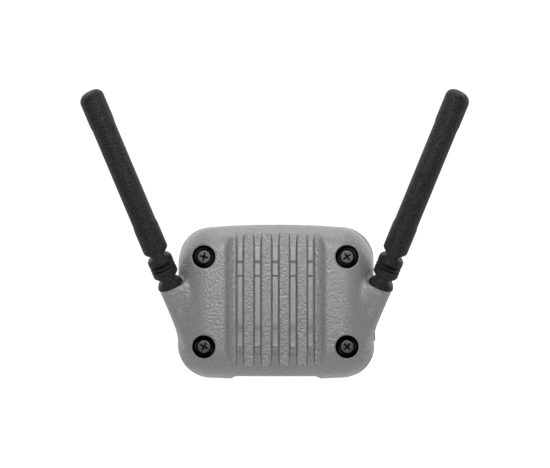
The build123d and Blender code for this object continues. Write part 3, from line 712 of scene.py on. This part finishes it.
def black_rubber():
    """Matt moulded rubber with a fine mottled grain."""
    rubber = Finish("black_rubber", (0.009, 0.009, 0.0098), 0.6)
    mottle = rubber.noise(0.8, 3)
    grain = rubber.noise(0.4, 2)
    rubber.vary_colour(mottle, 0.4, 1.6)
    rubber.link(rubber.ranged(mottle, 0.35, 0.65, 0.08, 0.36), rubber.shader.inputs["Specular IOR Level"])
    rubber.bump(rubber.math("ADD", grain, mottle), 0.12, 0.8)
    return rubber.material


def black_steel():
    """Black oxide at full colour on the screw heads' top faces; painted shade makes their cross recesses and
    sides near black.
    """
    steel = Finish("black_steel", (0.055, 0.055, 0.058), 0.45, 0.3)
    # Painted shade: below its top face the head is painted near black and loses its sheen
    on_top = steel.below(steel.place()[1], HEAD_FACE - HEAD_TOP, 0.05)
    cloud = steel.ranged(steel.noise(0.9, 4), 0.2, 0.8, 0.7, 1.0)
    steel.vary_colour(steel.math("MULTIPLY", cloud, steel.ranged(on_top, 0, 1, 0.06, 1.0)), 0.0, 1.2)
    steel.link(steel.ranged(on_top, 0, 1, 0.05, 0.5), steel.shader.inputs["Specular IOR Level"])
    steel.bump(steel.noise(0.18, 2), 0.01, 0.4)
    return steel.material


def turned_metal(name, colour, roughness, grain=0.25):
    """Metal with fine turning or rolling marks."""
    metal = Finish(name, colour, roughness, 1.0)
    marks = metal.noise(grain, 3, (1, 1, 6))
    metal.vary_colour(marks, 0.85, 1.1)
    metal.vary_roughness(marks, roughness * 0.8, roughness * 1.3)
    metal.bump(marks, 0.01, 0.3)
    return metal.material


def moulded(name, colour, roughness, grain=0.4, depth=0.02, contrast=0.12):
    """Moulded plastic or rubber with a fine grain."""
    plastic = Finish(name, colour, roughness)
    cloud = plastic.noise(grain * 4, 3)
    plastic.vary_colour(cloud, 1 - contrast, 1 + contrast)
    plastic.vary_roughness(cloud, roughness * 0.88, min(1, roughness * 1.12))
    plastic.bump(plastic.noise(grain, 2), depth, 0.5)
    return plastic.material


def circuit_board():
    """Green solder mask over a faint pattern of tracks."""
    board = Finish("board", (0.02, 0.14, 0.065), 0.38)
    tracks = board.node("ShaderNodeTexBrick")
    tracks.inputs["Scale"].default_value = 1 / (9 * MM)
    tracks.inputs["Mortar Size"].default_value = 0.03
    turn = board.node("ShaderNodeMapping")
    turn.inputs["Rotation"].default_value = (radians(90), 0, 0)
    board.link(board.coordinates, turn.inputs["Vector"])
    board.link(turn.outputs["Vector"], tracks.inputs["Vector"])
    board.vary_colour(tracks.outputs["Fac"], 1.0, 1.7)
    board.bump(tracks.outputs["Fac"], 0.03, 0.5)
    return board.material


def make_finishes():
    """One material for each of the record's slots."""
    return {
        "grey_coat": grey_coat(),
        "black_steel": black_steel(),
        "black_rubber": black_rubber(),
        "board": circuit_board(),
        "seal_rubber": moulded("seal_rubber", (0.012, 0.012, 0.013), 0.75),
        "chip": moulded("chip", (0.025, 0.025, 0.028), 0.55, 0.2),
        "pad": moulded("pad", (0.32, 0.36, 0.45), 0.75, 0.5, 0.04),
        "smoked": moulded("smoked", (0.012, 0.012, 0.013), 0.15, 1.0, 0.002, 0.05),
        "led": moulded("led", (0.8, 0.8, 0.74), 0.2, 0.6, 0.004),
        "black_plastic": moulded("black_plastic", (0.025, 0.025, 0.026), 0.5),
        "white_plastic": moulded("white_plastic", (0.75, 0.74, 0.7), 0.4),
        "cable": moulded("cable", (0.03, 0.03, 0.032), 0.45, 0.6),
        "leads": moulded("leads", (0.35, 0.04, 0.03), 0.45, 0.6),
        "brass": turned_metal("brass", (0.68, 0.5, 0.22), 0.3),
        "steel": turned_metal("steel", (0.55, 0.55, 0.56), 0.35),
        "can": turned_metal("can", (0.62, 0.62, 0.6), 0.3, 0.8),
        "nickel": turned_metal("nickel", (0.58, 0.56, 0.52), 0.25),
        "copper": turned_metal("copper", (0.62, 0.27, 0.13), 0.3),
    }


def dress_nodes(nodes, slots, finishes):
    """Gives every CAD node the finish of its material slot."""
    for name, node in nodes.items():
        finish = finishes[slots[name]]
        for place in range(len(node.data.materials)):
            node.data.materials[place] = finish
        if not node.data.materials:
            node.data.materials.append(finish)


# ---------------------------------------------------------------- stage

# Floor, in metres
FLOOR_HALF = 8.0
FLOOR_LEVEL = -0.36

# Lights: name, place, aim, width and height in metres, power in watts
SOFTBOXES = (
    ("key", (0, -0.28, 0.1), (0, -0.02, 0.01), 0.08, 0.08, 0.6),
    ("top", (0, -0.1, 0.6), (0, -0.02, 0), 0.6, 0.4, 2.6),
    ("low", (0, 0.2, -0.3), (0, -0.02, 0), 0.5, 0.2, 0.26),
    ("side", (-0.5, 0.15, 0.05), (0, -0.02, 0), 0.3, 0.6, 1.0),
    ("side", (0.5, 0.15, 0.05), (0, -0.02, 0), 0.3, 0.6, 1.0),
)


def seen_by_camera(tree, plain, shown, output):
    """Links an output to one shader for the camera and another for all other rays."""
    path = tree.nodes.new("ShaderNodeLightPath")
    mix = tree.nodes.new("ShaderNodeMixShader")
    tree.links.new(path.outputs["Is Camera Ray"], mix.inputs["Fac"])
    tree.links.new(plain, mix.inputs[1])
    tree.links.new(shown, mix.inputs[2])
    tree.links.new(mix.outputs["Shader"], output)


def make_floor():
    """Wide pale floor well below the unit, as white to the camera as the backdrop."""
    finish = Finish("floor_paint", (0.85, 0.85, 0.85), 0.8)
    finish.vary_colour(finish.noise(400, 2), 0.995, 1.005)
    glow = finish.node("ShaderNodeEmission")
    glow.inputs["Strength"].default_value = WHITE
    target = finish.tree.nodes["Material Output"].inputs["Surface"]
    clear = finish.node("ShaderNodeBsdfTransparent")
    side = finish.node("ShaderNodeMixShader")
    finish.link(finish.node("ShaderNodeNewGeometry").outputs["Backfacing"], side.inputs["Fac"])
    finish.link(glow.outputs["Emission"], side.inputs[1])
    finish.link(clear.outputs["BSDF"], side.inputs[2])
    seen_by_camera(finish.tree, finish.shader.outputs["BSDF"], side.outputs["Shader"], target)
    half = FLOOR_HALF
    level = FLOOR_LEVEL
    corners = [(-half, -half, level), (half, -half, level), (half, half, level), (-half, half, level)]
    mesh = bpy.data.meshes.new("floor")
    mesh.from_pydata(corners, [], [(0, 1, 2, 3)])
    mesh.materials.append(finish.material)
    floor = bpy.data.objects.new("floor", mesh)
    bpy.context.scene.collection.objects.link(floor)


def make_world(ahead, behind):
    """White backdrop. Its light runs from one strength in front of the unit to another behind it."""
    world = bpy.data.worlds.new("studio")
    world.use_nodes = True
    tree = world.node_tree
    place = tree.nodes.new("ShaderNodeTexCoord")
    split = tree.nodes.new("ShaderNodeSeparateXYZ")
    span = tree.nodes.new("ShaderNodeMapRange")
    for slot, value in zip(list(span.inputs)[1:5], (-0.1, 0.6, ahead, behind)):
        slot.default_value = value
    light = tree.nodes["Background"]
    tree.links.new(place.outputs["Generated"], split.inputs["Vector"])
    tree.links.new(split.outputs["Y"], span.inputs["Value"])
    tree.links.new(span.outputs["Result"], light.inputs["Strength"])
    light.inputs["Color"].default_value = (1, 1, 1, 1)
    white = tree.nodes.new("ShaderNodeBackground")
    white.inputs["Color"].default_value = (1, 1, 1, 1)
    white.inputs["Strength"].default_value = WHITE
    target = tree.nodes["World Output"].inputs["Surface"]
    seen_by_camera(tree, light.outputs["Background"], white.outputs["Background"], target)
    bpy.context.scene.world = world


def softbox(name, place, aim, width, height, power):
    lamp = bpy.data.lights.new(name, "AREA")
    lamp.shape = "RECTANGLE"
    lamp.size = width
    lamp.size_y = height
    lamp.energy = power
    box = bpy.data.objects.new(name, lamp)
    box.location = place
    box.rotation_euler = (Vector(aim) - Vector(place)).to_track_quat("-Z", "Y").to_euler()
    bpy.context.scene.collection.objects.link(box)


def make_camera():
    """Long lens, nearly square to the front and a touch to the right, level with the middle of the whole."""
    away = 4.0
    field_width = 0.275
    azimuth = radians(1.1)
    aim = Vector((-0.00015, -FRONT * MM, 0.0339))
    camera = bpy.data.cameras.new("camera")
    camera.sensor_width = 36
    camera.lens = camera.sensor_width * away / field_width
    camera.clip_end = 100
    view = bpy.data.objects.new("camera", camera)
    view.location = aim + away * Vector((sin(azimuth), -cos(azimuth), 0))
    view.rotation_euler = (radians(90), 0, azimuth)
    bpy.context.scene.collection.objects.link(view)
    bpy.context.scene.camera = view


def main():
    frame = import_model()
    joints = {joint["name"]: joint for joint in frame["joints"]}
    slots = {row["node"]: row["material_slot"] for row in frame["record"]["subparts"]}
    finishes = make_finishes()
    dress_nodes(frame["nodes"], slots, finishes)
    axes = {side: AntennaAxes(joints, side) for side in ("left", "right")}
    make_front_shell(axes["right"], finishes["grey_coat"])
    for side in ("left", "right"):
        make_antenna(side, axes[side], finishes["black_rubber"])
    make_floor()
    make_world(0.1, 1.6)
    for light in SOFTBOXES:
        softbox(*light)
    make_camera()
    bpy.context.scene.view_settings.view_transform = "Standard"


main()
